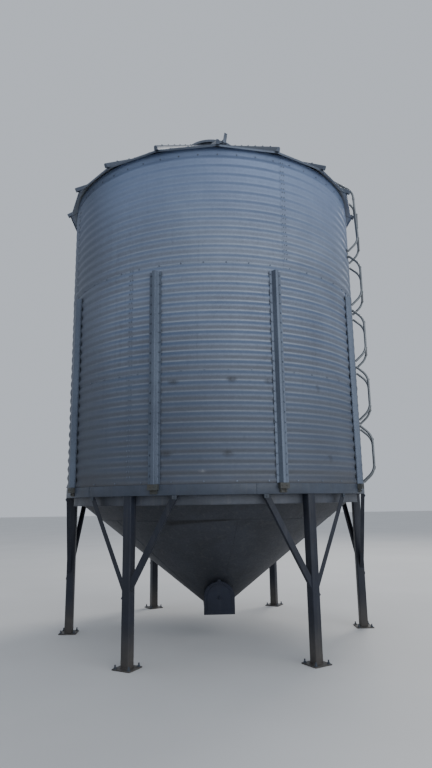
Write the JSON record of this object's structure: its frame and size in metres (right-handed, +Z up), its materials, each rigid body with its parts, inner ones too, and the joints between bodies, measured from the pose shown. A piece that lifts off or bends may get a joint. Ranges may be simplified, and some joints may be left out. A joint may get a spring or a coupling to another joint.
{
  "type": "grain silo",
  "caption": "Round corrugated steel bin with a ribbed cone roof, standing on braced legs over a hopper with an unloading boot, with a side ladder.",
  "frame": {"origin": "on the silo's axis, at ground level under the leg base plates", "axes": "+Z up along the axis; -Y towards the front, midway between two legs and above the boot's mouth; +X to the right, seen from the front"},
  "size_m": [3.7936, 3.8146, 6.3955],
  "materials": {
    "wall_galvanized": "weathered galvanized corrugated sheet",
    "stiffener_galvanized": "weathered galvanized rolled section, rust at the feet",
    "roof_galvanized": "weathered galvanized sheet",
    "ring_beam_paint": "dark blue-grey paint, dusty",
    "skirt_paint": "dark blue-grey paint, dusty",
    "cone_steel": "dark grey paint, welded seams",
    "boot_steel": "dark grey paint",
    "cover_steel": "dark grey paint",
    "leg_paint": "dark blue-grey paint",
    "cap_galvanized": "weathered galvanized sheet",
    "ladder_galvanized": "dull galvanized tube"
  },
  "bodies": {
    "root": {"boot_cover": "cover_steel", "fill_lid": "cap_galvanized", "fill_neck": "cap_galvanized", "grab_rail_back": "ladder_galvanized", "grab_rail_front": "ladder_galvanized", "hopper_cone_1": "cone_steel", "hopper_cone_2": "cone_steel", "hopper_cone_3": "cone_steel", "hopper_cone_4": "cone_steel", "hopper_cone_5": "cone_steel", "hopper_cone_6": "cone_steel", "hopper_skirt": "skirt_paint", "ladder_section_1": "ladder_galvanized", "ladder_section_2": "ladder_galvanized", "ladder_section_3": "ladder_galvanized", "ladder_section_4": "ladder_galvanized", "ladder_top_section": "ladder_galvanized", "leg_1": "leg_paint", "leg_2": "leg_paint", "leg_3": "leg_paint", "leg_4": "leg_paint", "leg_5": "leg_paint", "leg_6": "leg_paint", "ring_beam": "ring_beam_paint", "roof_sector_1": "roof_galvanized", "roof_sector_2": "roof_galvanized", "roof_sector_3": "roof_galvanized", "roof_sector_4": "roof_galvanized", "roof_sector_5": "roof_galvanized", "roof_sector_6": "roof_galvanized", "stiffener_1": "stiffener_galvanized", "stiffener_2": "stiffener_galvanized", "stiffener_3": "stiffener_galvanized", "stiffener_4": "stiffener_galvanized", "stiffener_5": "stiffener_galvanized", "stiffener_6": "stiffener_galvanized", "stiffener_7": "stiffener_galvanized", "stiffener_8": "stiffener_galvanized", "stiffener_9": "stiffener_galvanized", "unloading_boot": "boot_steel", "wall_sheet_1_1": "wall_galvanized", "wall_sheet_1_2": "wall_galvanized", "wall_sheet_1_3": "wall_galvanized", "wall_sheet_1_4": "wall_galvanized", "wall_sheet_2_1": "wall_galvanized", "wall_sheet_2_2": "wall_galvanized", "wall_sheet_2_3": "wall_galvanized", "wall_sheet_2_4": "wall_galvanized", "wall_sheet_3_1": "wall_galvanized", "wall_sheet_3_2": "wall_galvanized", "wall_sheet_3_3": "wall_galvanized", "wall_sheet_3_4": "wall_galvanized"}
  },
  "joints": []
}
